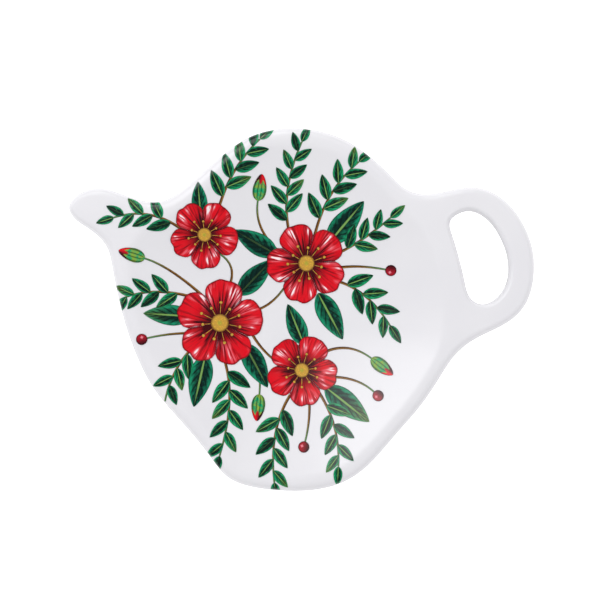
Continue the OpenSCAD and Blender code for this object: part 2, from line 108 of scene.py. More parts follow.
# Blossoms: a place by its shares of length and width, a share of the full size and a turn in degrees
BLOSSOMS = [
    ((0.322, 0.462), 1, 10), ((0.510, 0.628), 0.92, 40),
    ((0.290, 0.706), 0.78, -15), ((0.500, 0.330), 0.82, 62),
]
# Petals: half their spread in degrees, how far the rim falls back to the sides and at the shoulders, and
# how far under the centre they start
PETAL_COUNT = 5
PETAL_SPREAD = 35.8
PETAL_ROUND_SHARE = 0.2
PETAL_SHOULDER_SHARE = 0.1
PETAL_ROOT_SHARE = 0.67
# The notch and the ruffles of a petal's rim: depth as a share, and the notch's width or the waves' rate
PETAL_NOTCH = (0.035, 0.16)
PETAL_RUFFLE = (0.012, 9)
# Sprigs: the stem's start, bend and end, and a share of the full size of their leaves
SPRIGS = [
    ((0.249, 0.713), (0.180, 0.785), (0.098, 0.752), 0.9),
    ((0.318, 0.763), (0.342, 0.884), (0.410, 0.967), 1),
    ((0.527, 0.702), (0.550, 0.829), (0.622, 0.905), 1),
    ((0.574, 0.653), (0.630, 0.686), (0.690, 0.752), 0.9),
    ((0.568, 0.581), (0.640, 0.560), (0.690, 0.455), 1),
    ((0.535, 0.273), (0.583, 0.182), (0.578, 0.069), 0.95),
    ((0.475, 0.262), (0.428, 0.168), (0.441, 0.025), 1),
    ((0.329, 0.372), (0.361, 0.264), (0.324, 0.098), 1),
    ((0.273, 0.402), (0.222, 0.350), (0.205, 0.236), 0.9),
    ((0.269, 0.532), (0.174, 0.567), (0.110, 0.526), 0.9),
    ((0.475, 0.700), (0.450, 0.820), (0.500, 0.960), 0.9),
]
# Bare foot of a sprig's stem, lean of its leaves in degrees, lean and size at the tip, and gap between leaves
BARE_SHARE = 0.15
LEAF_LEAN = 46
TIP_LEAN_SHARE = 0.8
TIP_SIZE_SHARE = 0.7
LEAF_GAP_SHARE = 0.12
# Broad leaves: the place of the base, the direction in degrees and a share of the full size
BROAD_LEAVES = [
    ((0.362, 0.540), 46, 0.88), ((0.292, 0.375), 258, 0.95), ((0.375, 0.405), -62, 0.9),
    ((0.262, 0.480), 176, 0.85), ((0.556, 0.680), 50, 1), ((0.447, 0.650), 150, 0.9),
    ((0.535, 0.545), -62, 0.95), ((0.283, 0.752), 94, 0.64), ((0.550, 0.285), -38, 1),
    ((0.505, 0.400), 112, 0.8),
]
# Twigs: start, bend and end. The first ones carry buds and the others berries.
BUD_TWIGS = [
    ((0.455, 0.655), (0.395, 0.720), (0.405, 0.800)), ((0.374, 0.388), (0.415, 0.355), (0.408, 0.264)),
    ((0.553, 0.383), (0.604, 0.409), (0.650, 0.364)), ((0.295, 0.526), (0.217, 0.619), (0.163, 0.640)),
]
BERRY_TWIGS = [
    ((0.544, 0.310), (0.614, 0.320), (0.655, 0.272)), ((0.572, 0.614), (0.619, 0.625), (0.680, 0.610)),
    ((0.299, 0.430), (0.239, 0.441), (0.169, 0.421)), ((0.515, 0.262), (0.520, 0.200), (0.507, 0.135)),
]
# Stems that join the blossoms
BRANCHES = [
    ((0.359, 0.493), (0.437, 0.482), (0.480, 0.603)), ((0.316, 0.510), (0.381, 0.614), (0.316, 0.658)),
    ((0.389, 0.438), (0.415, 0.372), (0.475, 0.328)),
]
# A stem's width at its end, as a share of that at its start
STEM_END_SHARE = 0.6
# Swell of the outlines of leaves, buds and berries: the power points the ends, the lean fills the base
LEAF_SWELL = (1.5, 0.3)
BUD_SWELL = (1.1, 0.25)
BERRY_SWELL = (1, 0)
# Their least width as a share of the full one, and the width of a bud as a share of its length
BLUNT_SHARE = 0.03
BUD_WIDTH_SHARE = 0.5
# Rows and columns of points on the films
STEM_GRID = (30, 5)
BROAD_LEAF_GRID = (30, 15)
LEAF_GRID = (22, 9)
BUD_GRID = (20, 11)
BERRY_GRID = (18, 11)
PETAL_GRID = (20, 19)
CENTRE_GRID = (18, 13)
THREAD_GRID = (8, 3)
ANTHER_GRID = (8, 5)

# Layers of the print, from the lowest, the height of the first, the step to the next, and how far each film
# is sunk into the tray
STEM_LAYER, BROAD_LEAF_LAYER, LEAF_LAYER, BUD_LAYER, BLOSSOM_LAYER, CENTRE_LAYER = range(6)
FIRST_LIFT = 0.05 * MM
LAYER_STEP = 0.02 * MM
SUNK = 0.06 * MM
# Way in from the outline where the print stops, halvings that find that line, and steps back along a stem
PRINT_MARGIN = 0.3 * MM
CUT_HALVINGS = 12
STEM_CUT_STEP = 0.01
# Distance over which the slope of the tray's face is taken
SLOPE_STEP = 0.03 * MM
# The share of a full range by which the shade of one film differs from that of the next
SHADE_STEP = 0.618
# Anthers, by turns nearer and farther, as shares of the blossom's reach, with their threads
ANTHER_COUNT = 11
ANTHER_NEAR_SHARE = 0.36
ANTHER_FAR_SHARE = 0.44
ANTHER_TURN_SHARE = 0.35
ANTHER_OVERLAP_SHARE = 0.2
ANTHER_WIDTH = 0.85 * MM
THREAD_ROOT_SHARE = 0.9
THREAD_WIDTH = 0.16 * MM

# The glossy face of the melamine, its colour where it is clouded, and the unevenness of moulding
GLAZE_IOR = 1.65
GLAZE_ROUGHNESS = (0.13, 0.19)
GLAZE_COAT = 0.25
GLAZE_COAT_ROUGHNESS = 0.06
CLOUD_SHARES = (0.98, 0.98, 0.985)
DIMPLE_DEPTH = 0.006 * MM
DIMPLE_STRENGTH = 0.5
# Where most of a noise lies, and the scales of the noises in the finishes, for places in metres
NOISE_SPAN = (0.3, 0.7)
GLOSS_SCALE = 420
DIMPLE_SCALE = 600
CLOUD_SCALE = 55
SPECK_SCALE = 2600
LEAF_WASH_SCALE = 750
BUD_WASH_SCALE = 900
POLLEN_SCALE = 2300
MOTTLE_SCALE = 40
# Veins along each side of a leaf
LEAF_VEIN_COUNT = 6
BROAD_LEAF_VEIN_COUNT = 9

# The stage: the camera's sensor in mm, the middle of its view, and the floor with its darker and paler greys
SENSOR_WIDTH = 36
VIEW_CENTRE = (-0.40 * MM, 2.55 * MM)
FLOOR_SIZE = 4.0
FLOOR_ROUGHNESS = 0.9
FLOOR_GREYS = (0.92, 0.95)
# Directions of the round softboxes, in degrees from +X and from straight up, and their distance
MAIN_BEARING, MAIN_TILT = 137, 38
EDGE_BEARING, EDGE_TILT = 98, 53
SOFTBOX_DISTANCE = 1.0
# From a softbox's middle, as shares of its width, where its light starts to fade and where it ends
SOFTBOX_FADE = (0.05, 0.5)
# Height of the direction, from 0 at the horizon to 1 overhead, where the room starts to dim and where it ends
CEILING_SPAN = (0, 0.35)


def painted(code):
    """A colour written as #rrggbb, in the linear values that Blender takes."""
    values = [int(code[i:i + 2], 16) / 255 for i in (1, 3, 5)]
    return tuple(v / 12.92 if v <= 0.04045 else ((v + 0.055) / 1.055) ** 2.4 for v in values)


def colour_choice(name, description, code):
    """A colour that a user may change."""
    return FloatVectorProperty(
        name=name, description=description, default=painted(code), subtype="COLOR", size=3, min=0, max=1
    )


def length_choice(name, description, default):
    """A length in metres that a user may change."""
    return FloatProperty(
        name=name, description=description, default=default, min=default / 2, max=default * 2,
        unit="LENGTH", subtype="DISTANCE", precision=5,
    )


def share_choice(name, description, default):
    """A share from 0 to 1 that a user may change."""
    return FloatProperty(name=name, description=description, default=default, min=0, max=1, subtype="FACTOR")


def power_choice(name, description, default):
    """A lamp's power in watts that a user may change."""
    return FloatProperty(name=name, description=description, default=default, min=0, subtype="POWER")


class TraySizes(bpy.types.PropertyGroup):
    """Sizes and colour of the moulded tray"""

    length: length_choice("Length", "From the tip of the spout to the outside of the handle", TRAY_SIZE.x)
    width: length_choice("Width", "From the domed top to the base of the outline", TRAY_SIZE.y)
    height: length_choice("Height", "Height of the lip above the table", TRAY_SIZE.z)
    lip_thick: length_choice("Lip", "Thickness of the lip, the spout and the handle", 4 * MM)
    wall: length_choice("Dish", "Thickness of the dish", 2.6 * MM)
    foot_height: length_choice("Foot", "Height of the foot ring below the floor of the dish", 1.2 * MM)
    foot_width: length_choice("Foot Ring", "Diameter of the foot ring", 46 * MM)
    foot_face: length_choice("Foot Face", "Width of the ring's face on the table", 2.4 * MM)
    edge_width: length_choice("Edge", "Width of the rounded edge, seen from above", 2.5 * MM)
    hole_edge_width: length_choice("Hole Edge", "Width of the rounded edge round the finger hole", 1.3 * MM)
    edge_height: length_choice("Edge Height", "Height of the rounded edges", 1.8 * MM)
    under_radius: length_choice("Under Radius", "Radius below the edges", 1.1 * MM)
    melamine: colour_choice("Melamine", "Colour of the moulding", "#e8e7eb")


class PrintChoices(bpy.types.PropertyGroup):
    """Sizes and inks of the print"""

    leaf_length: length_choice("Leaf Length", "Length of a leaf of a sprig", 8 * MM)
    leaf_width: length_choice("Leaf Width", "Width of a leaf of a sprig", 3.5 * MM)
    broad_leaf_length: length_choice("Broad Leaf Length", "Length of a broad leaf beside a blossom", 15 * MM)
    broad_leaf_width: length_choice("Broad Leaf Width", "Width of a broad leaf beside a blossom", 6.4 * MM)
    blossom_width: length_choice("Blossom", "Width across an open blossom", 24 * MM)
    centre_width: length_choice("Centre", "Width of the yellow centre of a blossom", 4.8 * MM)
    stem_width: length_choice("Stem", "Width of a stem", 0.8 * MM)
    bud_length: length_choice("Bud", "Length of a bud", 7.2 * MM)
    berry_width: length_choice("Berry", "Width of a berry", 3 * MM)
    leaf_dark: colour_choice("Dark Leaf", "Shaded side of the leaves", "#042a21")
    leaf_light: colour_choice("Light Leaf", "Lit side of the leaves", "#16a469")
    leaf_vein: colour_choice("Leaf Veins", "Veins of the leaves", "#86b45c")
    broad_dark: colour_choice("Dark Broad Leaf", "Shaded side of the broad leaves", "#032c26")
    broad_light: colour_choice("Light Broad Leaf", "Lit side of the broad leaves", "#129068")
    petal_deep: colour_choice("Deep Petal", "Roots and streaks of the petals", "#420610")
    petal_red: colour_choice("Red Petal", "Body of the petals", "#e0021b")
    petal_pale: colour_choice("Pale Petal", "Lit patches of the petals", "#f48c9c")
    petal_gleam: colour_choice("Petal Gleam", "Lightest streaks of the petals", "#fdebef")
    bark: colour_choice("Stem", "Stems and twigs", "#5e3a1b")
    bark_pale: colour_choice("Pale Stem", "Lit side of the stems", "#b98a3e")
    bud_green: colour_choice("Bud", "Buds", "#8cab3a")
    berry_red: colour_choice("Berry", "Berries", "#a81226")
    pollen: colour_choice("Pollen", "Centres and anthers", "#e7b938")


class StageChoices(bpy.types.PropertyGroup):
    """Camera, lamps and floor"""

    focal: FloatProperty(
        name="Focal Length", description="Focal length of the camera in mm", default=100, min=20,
        subtype="DISTANCE_CAMERA",
    )
    view_width: length_choice("View Width", "Width of the view at the height of the outline", 0.1613)
    main_width: length_choice("Main Softbox", "Width of the softbox that shines into the dish", 1.2)
    main_power: power_choice("Main Power", "Power of the main softbox", 6.2)
    edge_width: length_choice("Edge Softbox", "Width of the softbox that gleams on the upper edges", 0.6)
    edge_power: power_choice("Edge Power", "Power of the edge softbox", 1.6)
    fill: share_choice("Fill", "Strength of the light from all round", 0.91)
    fill_slope: share_choice("Fill Slope", "How much stronger that light is from the back", 0.1)
    ceiling: share_choice("Ceiling", "Brightness of the room overhead where gloss shows it", 0.05)
    floor_white: share_choice("Floor White", "Own light of the floor where the camera sees it", 0.55)
    floor_gleam: share_choice("Floor Gleam", "Own light of the floor where gloss shows it", 0.05)


def lerp(a, b, share):
    """The value that lies at a share of the way from a to b."""
    return a + (b - a) * share


def closed_curve(points, samples):
    """Samples of the smooth closed curve through the points."""
    aim = np.array(points, float)
    knots = aim.copy()
    for _ in range(SETTLE_ROUNDS):
        knots += aim - (np.roll(knots, 1, 0) + 4 * knots + np.roll(knots, -1, 0)) / 6
    u = np.arange(samples) * len(aim) / samples
    i = np.floor(u).astype(int)
    t = (u - i)[:, None]
    r = 1 - t
    n = len(aim)
    return (
        r ** 3 * knots[(i - 1) % n]
        + (3 * t ** 3 - 6 * t ** 2 + 4) * knots[i % n]
        + (3 * r ** 3 - 6 * r ** 2 + 4) * knots[(i + 1) % n]
        + t ** 3 * knots[(i + 2) % n]
    ) / 6


def right_normals(points):
    """Unit vectors to the right of a closed curve's direction of travel."""
    d = np.roll(points, -1, 0) - np.roll(points, 1, 0)
    return np.stack([d[:, 1], -d[:, 0]], 1) / np.linalg.norm(d, axis=1)[:, None]


class TrayShape:
    """The lines and heights of the tray."""

    def __init__(self, sizes):
        self.sizes = sizes
        rows = closed_curve(OUTLINE_SHARES, len(OUTLINE_SHARES) * SPAN_STEPS)
        self.low, self.high = rows[:, :2].min(0), rows[:, :2].max(0)
        self.scale = np.array([sizes.length, sizes.width])
        self.count = len(rows)
        self.outline = self.place(rows[:, :2])
        self.inward = right_normals(self.outline)
        self.edge_widths = rows[:, 2] * sizes.edge_width
        self.middle = self.place(DISH_MIDDLE_SHARES)
        self.crest = self.outline + self.inward * self.edge_widths[:, None]
        self.border_set_in = rows[:, 3]
        self.first = HANDLE_ROOT[0] * SPAN_STEPS
        self.last = self.first + HANDLE_ROOT[1] * SPAN_STEPS
        self.hole = self.place(closed_curve(HOLE_SHARES, 2 * (self.last - self.first)))
        self.outward = -right_normals(self.hole)
        self.dish_depth = sizes.height - sizes.wall - sizes.foot_height
        self.rays = self.smoothed(np.array([self.border_ray(i) for i in range(self.count)]))
        order = np.argsort(self.rays[:, 0] % 360)
        self.ray_turns = self.rays[order, 0] % 360
        self.ray_reaches = self.rays[order, 1]

    def place(self, share):
        """A place in the plan from its shares of the outline's length and width."""
        return ((np.asarray(share, float) - self.low) / (self.high - self.low) - 1 / 2) * self.scale

    def bearing(self, p):
        """Direction of a place from the dish's middle, in degrees."""
        return np.degrees(np.arctan2(p[..., 1] - self.middle[1], p[..., 0] - self.middle[0]))

    def border_reach(self, i):
        """Reach of the dish's border where it follows the crest."""
        return np.linalg.norm(self.crest[i] - self.middle) * (1 - self.border_set_in[i])

    def border_ray(self, i):
        """Bearing and reach of the dish's border. It runs straight past the handle and the spout."""
        for start, spans, bulge, lead in (HANDLE_ROOT, SPOUT_ROOT):
            start, spans = start * SPAN_STEPS, spans * SPAN_STEPS
            past = (i - start) % self.count
            if past > spans:
                continue
            end = (start + spans) % self.count
            low, high = self.bearing(self.crest[start]), self.bearing(self.crest[end])
            turn = lerp(low, high, past / spans)
            if lead:
                turn = self.bearing(self.crest[i]) - lead * math.sin(math.pi * past / spans)
            share = (turn - low) / (high - low)
            reach = lerp(self.border_reach(start), self.border_reach(end), share)
            return turn, reach * (1 + bulge * math.sin(math.pi * share))
        return self.bearing(self.crest[i]), self.border_reach(i)

    def smoothed(self, rays):
        """The border's rays with their reaches eased into their neighbours', short of the lip's crest."""
        near = range(-BORDER_EASE_COUNT, BORDER_EASE_COUNT + 1)
        reaches = sum(np.roll(rays[:, 1], k) for k in near) / len(near)
        most = np.linalg.norm(self.crest - self.middle, axis=1) * (1 - LEAST_SET_IN_SHARE)
        return np.stack([rays[:, 0], np.minimum(reaches, most)], 1)

    def on_rays(self, reaches):
        """Places on the border's rays."""
        turns = np.radians(self.rays[:, 0])
        ways = np.stack([np.cos(turns), np.sin(turns)], 1)
        return self.middle + ways * np.broadcast_to(reaches, turns.shape)[:, None]

    def dish_z(self, share):
        """Height of the dish's face at a share of the way out."""
        s = np.minimum(share, 1)
        bowl = 1 - s * s / (1 - EASE_SHARE)
        ease = (1 - s) ** 2 / EASE_SHARE
        return self.sizes.height - self.dish_depth * np.where(s < 1 - EASE_SHARE, bowl, ease)

    def share_at(self, sink):
        """Share of the way out where the dish's face lies a share of its depth below the lip."""
        if sink > EASE_SHARE:
            return math.sqrt((1 - EASE_SHARE) * (1 - sink))
        return 1 - math.sqrt(sink * EASE_SHARE)

    def rim_distance(self, points):
        """How far places lie inside the outline, and the edge's width at the nearest point of it."""
        a = self.outline
        d = np.roll(a, -1, 0) - a
        away = points[:, None, :] - a[None]
        share = np.clip((away * d).sum(2) / (d * d).sum(1), 0, 1)
        gap = away - share[..., None] * d
        far = np.linalg.norm(gap, axis=2)
        near = far.argmin(1)
        pick = np.arange(len(points))
        side = np.sign((gap[pick, near] * self.inward[near]).sum(1))
        widths = lerp(self.edge_widths[near], np.roll(self.edge_widths, -1)[near], share[pick, near])
        return far[pick, near] * side, widths

    def top_z(self, points):
        """Height of the tray's face at places in the plan."""
        away = points - self.middle
        reach = np.linalg.norm(away, axis=1)
        border = np.interp(self.bearing(points) % 360, self.ray_turns, self.ray_reaches, period=360)
        z = np.where(reach < border, self.dish_z(reach / border), self.sizes.height)
        inside, width = self.rim_distance(points)
        over = np.clip((width - inside) / width, 0, 1)
        return z - self.sizes.edge_height * (1 - np.sqrt(1 - over * over))

    def face(self, points):
        """Points on the tray's face and its unit normals."""
        across, along = np.array([SLOPE_STEP, 0]), np.array([0, SLOPE_STEP])
        dx = (self.top_z(points + across) - self.top_z(points - across)) / (2 * SLOPE_STEP)
        dy = (self.top_z(points + along) - self.top_z(points - along)) / (2 * SLOPE_STEP)
        normals = np.stack([-dx, -dy, np.ones(len(points))], 1)
        normals /= np.linalg.norm(normals, axis=1)[:, None]
        return np.column_stack([points, self.top_z(points)]), normals

    def printable(self, points):
        """Whether places lie inside the line where the print stops."""
        return self.rim_distance(points)[0] > PRINT_MARGIN


def level(points, z):
    """Plan points brought to a height, or to one height each."""
    return np.column_stack([points, np.broadcast_to(z, len(points))])


def edge_rings(shape, line, normals, widths):
    """Rings of the rounded edge, from its crest down to its underside."""
    sizes = shape.sizes
    rings = []
    for a in np.radians(EDGE_ANGLES):
        offset = normals * (widths * (1 - math.cos(a)))[:, None]
        rings.append(level(line + offset, sizes.height - sizes.edge_height * (1 - math.sin(a))))
    low = sizes.height - sizes.lip_thick
    for a in np.radians(UNDER_ANGLES):
        offset = normals * sizes.under_radius * (1 - math.cos(a))
        rings.append(level(line + offset, low + sizes.under_radius * (1 - math.sin(a))))
    return rings


def foot_rings(shape):
    """Rings of the underside, from the flat under the lip to the middle of the recess."""
    sizes = shape.sizes
    reaches = shape.rays[:, 1]
    flat_share = shape.share_at((sizes.lip_thick - sizes.wall) / shape.dish_depth)
    outer, inner = sizes.foot_width / 2, sizes.foot_width / 2 - sizes.foot_face
    steps = [k / UNDER_STEPS for k in range(UNDER_STEPS + 1)]

    def under(reach):
        return level(shape.on_rays(reach), shape.dish_z(reach / reaches) - sizes.wall)

    rings = [under(lerp(reaches * flat_share, outer + FOOT_ROUND, step)) for step in steps]
    for reach, way in ((outer, 1), (inner, -1)):
        for a in np.radians(FOOT_ANGLES[::way]):
            foot = reach - way * FOOT_ROUND * (1 - math.cos(a))
            rings.append(level(shape.on_rays(foot), FOOT_ROUND * (1 - math.sin(a))))
    rings += [under((inner - FOOT_ROUND) * share) for share in RECESS_SHARES]
    return rings


class SkinBuilder:
    """Collects rings of points and the faces between them."""

    def __init__(self):
        self.points = []
        self.faces = []

    def add(self, ring):
        """Adds points and gives their numbers."""
        start = len(self.points)
        self.points.extend(ring)
        return list(range(start, len(self.points)))

    def join(self, a, b):
        """Quads between two rings of numbers, where the second lies further along the skin."""
        n = len(a)
        self.faces.extend((a[i], b[i], b[(i + 1) % n], a[(i + 1) % n]) for i in range(n))

    def join_all(self, rings):
        """Quads between each ring and the next."""
        for a, b in zip(rings, rings[1:]):
            self.join(a, b)

    def fan(self, ring, middle, upward):
        """Triangles between a ring and its middle point."""
        n = len(ring)
        for i in range(n):
            j = (i + 1) % n
            self.faces.append((middle, ring[i], ring[j]) if upward else (ring[i], middle, ring[j]))


def tray_mesh(shape):
    """The closed skin of the tray, with the finger hole let into the loop of the handle."""
    skin = SkinBuilder()
    n, first, last = shape.count, shape.first, shape.last
    hole_count = len(shape.hole)
    dish = [skin.add(level(shape.on_rays(shape.rays[:, 1] * s), shape.dish_z(s))) for s in RING_SHARES]
    lip = [skin.add(ring) for ring in edge_rings(shape, shape.outline, shape.inward, shape.edge_widths)]
    under = [skin.add(ring) for ring in foot_rings(shape)]
    hole_widths = np.full(hole_count, shape.sizes.hole_edge_width)
    hole = [skin.add(ring) for ring in edge_rings(shape, shape.hole, shape.outward, hole_widths)]
    spare = [i for i in range(n) if i < first or i > last]

    def middles(outer, inner, crest):
        """The line midway across the flat, which the hole's two sides replace in the handle."""
        between = [(skin.points[outer[i]] + skin.points[inner[i]]) / 2 for i in spare]
        made = dict(zip(spare, skin.add(between)))
        far_side = [made.get(i, crest[(i - first) % hole_count]) for i in range(n)]
        near_side = [made.get(i, crest[(first - i) % hole_count]) for i in range(n)]
        return far_side, near_side

    top_far, top_near = middles(lip[0], dish[-1], hole[0])
    low_far, low_near = middles(lip[-1], under[0], hole[-1])
    skin.fan(dish[0], skin.add(level(shape.middle[None], shape.dish_z(0)))[0], True)
    skin.join_all(dish + [top_near])
    skin.join_all([top_far] + lip + [low_far])
    skin.join_all([low_near] + under)
    skin.fan(under[-1], skin.add(level(shape.middle[None], shape.dish_z(0) - shape.sizes.wall))[0], False)
    skin.join_all(hole[::-1])
    mesh = bpy.data.meshes.new("tray")
    mesh.from_pydata([tuple(p) for p in skin.points], [], skin.faces)
    return mesh


def finish_mesh(mesh, sharp_angle):
    """Checks a closed mesh and shades it smooth except along its sharp edges."""
    mesh.validate()
    mesh.update()
    mesh.shade_smooth()
    mesh.set_sharp_from_angle(angle=math.radians(sharp_angle))


def bring_in(name, data):
    """A new object in the scene for a mesh, a lamp or a camera."""
    thing = bpy.data.objects.new(name, data)
    bpy.context.scene.collection.objects.link(thing)
    return thing


def add_piece(name, mesh, material, node):
    """Puts a finished mesh in the scene in place of its solid."""
    mesh.materials.append(material)
    piece = bring_in(name, mesh)
    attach(piece, "root")
    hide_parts(node)


def blade_grid(shape, base, way, width, swell, grid_size):
    """Places of a leaf, bud or berry. Where it crosses the rim, its columns are cut there."""
    rows, cols = grid_size
    across = np.array([way[1], -way[0]]) / np.hypot(*way)
    sides = np.linspace(-1, 1, cols)

    def at(shares):
        turn = np.pi * shares
        half = width / 2 * np.sin(turn) ** swell[0] * (1 + swell[1] * np.cos(turn))
        half = np.maximum(half, width / 2 * BLUNT_SHARE)
        return base + way * ((1 - np.cos(turn)) / 2)[:, None] + across * (sides * half)[:, None]

    low, high = np.zeros(cols), np.ones(cols)
    cut = ~shape.printable(at(high))
    for _ in range(CUT_HALVINGS):
        mid = (low + high) / 2
        inside = shape.printable(at(mid))
        low, high = np.where(inside, mid, low), np.where(inside, high, mid)
    reach = np.where(cut, low, 1)
    return np.stack([at(reach * r / (rows - 1)) for r in range(rows)])


def worth_printing(shape, grid, least):
    """Whether enough of a cut leaf is left to print."""
    middle = grid.shape[1] // 2
    ends = grid[0, [0, -1]]
    return np.linalg.norm(grid[-1, middle] - grid[0, middle]) > least and shape.printable(ends).all()


class Bow:
    """A stem's line through its start, bend and end."""

    def __init__(self, shape, shares):
        self.ends = [shape.place(s) for s in shares[:3]]

    def at(self, share):
        """The place at a share of the way along."""
        a, b, c = self.ends
        return lerp(lerp(a, b, share), lerp(b, c, share), share)

    def way(self, share):
        """The direction at a share of the way along."""
        a, b, c = self.ends
        d = lerp(b - a, c - b, share)
        return d / np.linalg.norm(d)

    def length(self):
        """The length, taken over its two halves."""
        half = self.at(1 / 2)
        return np.linalg.norm(half - self.ends[0]) + np.linalg.norm(self.ends[2] - half)


def stem_grid(shape, shares, width):
    """Places of a stem, which stops where it comes to the rim."""
    rows, cols = STEM_GRID
    bow = Bow(shape, shares)
    reach = 1.0
    while not shape.printable(bow.at(reach)[None])[0]:
        reach -= STEM_CUT_STEP
    grid = []
    for share in np.linspace(0, reach, rows):
        way = bow.way(share)
        across = np.array([way[1], -way[0]]) * width / 2 * lerp(1, STEM_END_SHARE, share)
        grid.append([bow.at(share) + across * side for side in np.linspace(-1, 1, cols)])
    return np.array(grid)


def turned(v, degrees):
    """A plan vector turned to the left."""
    a = math.radians(degrees)
    return np.array([v[0] * math.cos(a) - v[1] * math.sin(a), v[0] * math.sin(a) + v[1] * math.cos(a)])


def sprig_leaves(shape, sprig, choices):
    """Grids of the leaves on one sprig, set by turns on either side, with one at the tip."""
    bow, size = Bow(shape, sprig), sprig[3]
    pitch = choices.leaf_width * size * (1 + LEAF_GAP_SHARE) / (2 * math.sin(math.radians(LEAF_LEAN)))
    count = math.floor(bow.length() * (1 - BARE_SHARE) / pitch)
    grids = []
    for k in range(count + 1):
        share = 1 if k == count else lerp(BARE_SHARE, 1, (k + 1 / 2) / (count + 1 / 2))
        side = 0 if k == count else 1 if k % 2 == 0 else -1
        scale = size * lerp(1, TIP_SIZE_SHARE, share)
        way = turned(bow.way(share), side * LEAF_LEAN * lerp(1, TIP_LEAN_SHARE, share))
        length, width = choices.leaf_length * scale, choices.leaf_width * scale
        grid = blade_grid(shape, bow.at(share), way * length, width, LEAF_SWELL, LEAF_GRID)
        if worth_printing(shape, grid, choices.leaf_width / 2):
            grids.append(grid)
    return grids


def twig_ends(shape, twigs, length, width, swell, grid_size):
    """Grids of the buds or berries that carry on from the ends of their twigs."""
    bows = [Bow(shape, twig) for twig in twigs]
    return [blade_grid(shape, bow.at(1), bow.way(1) * length, width, swell, grid_size) for bow in bows]


def petal_grid(shape, blossom, k, choices):
    """Places of one petal, from its root out to its rim."""
    place, size, turn = blossom
    middle = shape.place(place)
    reach = choices.blossom_width / 2 * size
    inner = choices.centre_width / 2 * PETAL_ROOT_SHARE * size
    axis = turn + 360 * k / PETAL_COUNT
    rows, cols = PETAL_GRID
    notch, notch_width = PETAL_NOTCH
    ruffle, waves = PETAL_RUFFLE
    grid = []
    for share in np.linspace(0, 1, rows):
        row = []
        for side in np.linspace(-1, 1, cols):
            wavy = 1 - notch * math.exp(-(side / notch_width) ** 2) + ruffle * math.cos(waves * side + k)
            rim = 1 - PETAL_ROUND_SHARE * side ** 2 - PETAL_SHOULDER_SHARE * side ** 8
            far = lerp(inner, reach * rim * wavy, share)
            a = math.radians(axis - side * PETAL_SPREAD)
            row.append(middle + far * np.array([math.cos(a), math.sin(a)]))
        grid.append(row)
    return np.array(grid)


def anther_grids(shape, blossom, choices):
    """Grids of the threads and anthers that stand round a blossom's centre."""
    place, size, turn = blossom
    middle = shape.place(place)
    grids = []
    for k in range(ANTHER_COUNT):
        a = math.radians(turn + 360 * (k + ANTHER_TURN_SHARE) / ANTHER_COUNT)
        way = np.array([math.cos(a), math.sin(a)])
        side = np.array([-way[1], way[0]])
        near = choices.centre_width / 2 * size * THREAD_ROOT_SHARE
        far = choices.blossom_width / 2 * size * (ANTHER_NEAR_SHARE if k % 2 else ANTHER_FAR_SHARE)
        rows, cols = THREAD_GRID
        thread = [
            [middle + way * reach + side * s * THREAD_WIDTH / 2 for s in np.linspace(-1, 1, cols)]
            for reach in np.linspace(near, far, rows)
        ]
        grids.append(np.array(thread))
        anther = ANTHER_WIDTH * size
        base = middle + way * (far - anther * ANTHER_OVERLAP_SHARE)
        grids.append(blade_grid(shape, base, way * anther, anther, BERRY_SWELL, ANTHER_GRID))
    return grids


def films_mesh(shape, name, grids, layer):
    """One mesh of closed films of ink. Points keep their place along and across their film, and its shade."""
    points, faces, places = [], [], []
    lift = FIRST_LIFT + layer * LAYER_STEP
    for number, grid in enumerate(grids):
        rows, cols = grid.shape[:2]
        on_face, normals = shape.face(grid.reshape(-1, 2))
        start, under = len(points), rows * cols
        corners = start + np.arange(under).reshape(rows, cols)
        points.extend(on_face + normals * lift)
        points.extend(on_face - normals * SUNK)
        shade = (number * SHADE_STEP) % 1
        for _ in range(2):
            places.extend(
                (r / (rows - 1), 2 * c / (cols - 1) - 1, shade) for r in range(rows) for c in range(cols)
            )
        for a in corners[:-1, :-1].ravel():
            quad = (a, a + 1, a + cols + 1, a + cols)
            faces.append(quad)
            faces.append([corner + under for corner in (quad[0], *quad[:0:-1])])
        rim = [*corners[0, :-1], *corners[:-1, -1], *corners[-1, :0:-1], *corners[:0:-1, 0]]
        faces.extend((b, a, a + under, b + under) for a, b in zip(rim, rim[1:] + rim[:1]))
    mesh = bpy.data.meshes.new(name)
    mesh.from_pydata([tuple(p) for p in points], [], faces)
    attribute = mesh.attributes.new("film_place", "FLOAT_VECTOR", "POINT")
    attribute.data.foreach_set("vector", np.array(places, float).ravel())
    return mesh


